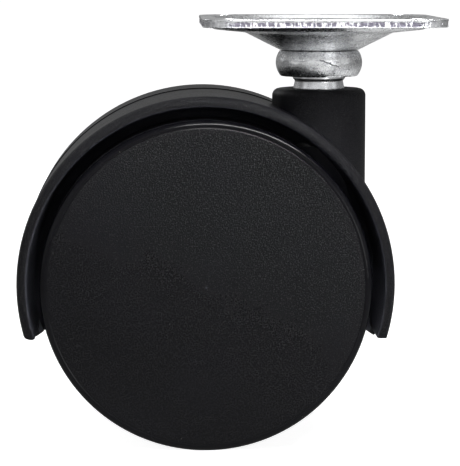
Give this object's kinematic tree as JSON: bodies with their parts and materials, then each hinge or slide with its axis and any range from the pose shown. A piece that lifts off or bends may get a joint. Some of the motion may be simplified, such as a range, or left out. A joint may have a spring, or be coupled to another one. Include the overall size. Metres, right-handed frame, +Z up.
{
  "type": "chair caster wheel",
  "caption": "Hooded swivel caster with a square fixing plate, a ball-raced swivel and plain plastic wheels side by side.",
  "frame": {"origin": "centre of the fixing plate's upper face, on the swivel axis", "axes": "+Z up, out of the plate towards the furniture; the wheels trail towards -X; the wheel axle is parallel to Y and the front wheel is on the -Y side"},
  "size_m": [0.0652, 0.037, 0.065],
  "materials": {
    "zinc_plated_steel": "bright zinc plate over pressed and turned steel",
    "bearing_steel": "polished balls",
    "plain_steel": "drawn and turned steel",
    "spring_steel": "hardened spring steel",
    "black_nylon_hood": "moulded nylon, fine grain",
    "black_nylon_wheel": "moulded nylon, smooth tread",
    "black_nylon_cover": "moulded nylon, grained face with a smooth edge band",
    "acetal": "natural acetal"
  },
  "bodies": {
    "plate": {"top_plate": "zinc_plated_steel"},
    "upper_ball_ring": {"upper_balls": "bearing_steel"},
    "lower_ball_ring": {"lower_balls": "bearing_steel"},
    "fork": {"race_washer": "zinc_plated_steel", "ball_cup": "zinc_plated_steel", "stem": "zinc_plated_steel", "stem_sleeve": "plain_steel", "stem_ring": "spring_steel", "hood": "black_nylon_hood", "axle": "plain_steel", "front_thrust_washer": "plain_steel", "rear_thrust_washer": "plain_steel", "front_axle_clip": "spring_steel", "rear_axle_clip": "spring_steel"},
    "front_wheel": {"front_hub_bush": "acetal", "front_wheel_body": "black_nylon_wheel", "front_wheel_cover": "black_nylon_cover"},
    "rear_wheel": {"rear_hub_bush": "acetal", "rear_wheel_body": "black_nylon_wheel", "rear_wheel_cover": "black_nylon_cover"}
  },
  "joints": [
    {"name": "swivel", "type": "hinge", "parent": "plate", "child": "fork", "pos_m": [0, 0, 0], "axis": [0, 0, 1], "continuous": true},
    {"name": "upper_balls_roll", "type": "hinge", "parent": "plate", "child": "upper_ball_ring", "pos_m": [0, 0, 0], "axis": [0, 0, 1], "continuous": true},
    {"name": "lower_balls_roll", "type": "hinge", "parent": "plate", "child": "lower_ball_ring", "pos_m": [0, 0, 0], "axis": [0, 0, 1], "continuous": true},
    {"name": "front_wheel_roll", "type": "hinge", "parent": "fork", "child": "front_wheel", "pos_m": [-0.018, 0, -0.04], "axis": [0, 1, 0], "continuous": true},
    {"name": "rear_wheel_roll", "type": "hinge", "parent": "fork", "child": "rear_wheel", "pos_m": [-0.018, 0, -0.04], "axis": [0, 1, 0], "continuous": true}
  ],
  "couplings": [
    {"joint": "upper_balls_roll", "follows": "swivel", "ratio": 0.5},
    {"joint": "lower_balls_roll", "follows": "swivel", "ratio": 0.5}
  ]
}
